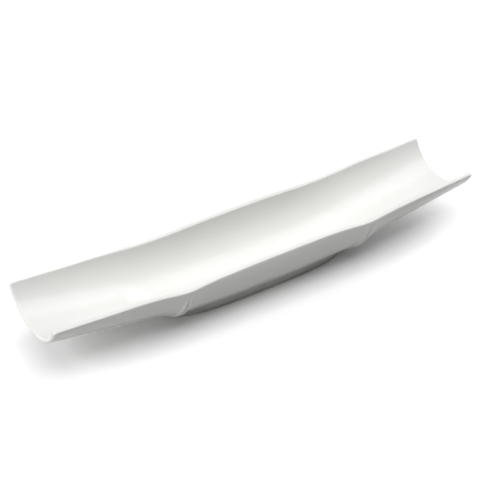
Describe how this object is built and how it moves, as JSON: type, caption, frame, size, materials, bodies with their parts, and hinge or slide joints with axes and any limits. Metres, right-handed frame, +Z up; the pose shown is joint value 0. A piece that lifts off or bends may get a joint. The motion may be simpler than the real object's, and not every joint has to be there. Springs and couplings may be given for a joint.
{
  "type": "serving platter",
  "caption": "Long half-round serving platter shaped like a split bamboo cane, in white glazed porcelain, with ringed nodes, upswept open ends and an oval foot ring.",
  "frame": {"origin": "on the table, under the middle of the platter, at the height of the foot's standing rim", "axes": "+X along the trough, +Y across it, +Z up"},
  "size_m": [0.4528, 0.092, 0.0591],
  "materials": {
    "bisque_porcelain": "unglazed porcelain body",
    "bare_foot_porcelain": "unglazed, polished standing rim",
    "white_glaze": "glossy white glaze",
    "foot_well_glaze": "glossy white glaze"
  },
  "bodies": {
    "root": {"trough_body": "bisque_porcelain", "foot_ring": "bare_foot_porcelain", "glaze_coat": "white_glaze", "foot_well_glaze": "foot_well_glaze"}
  },
  "joints": []
}
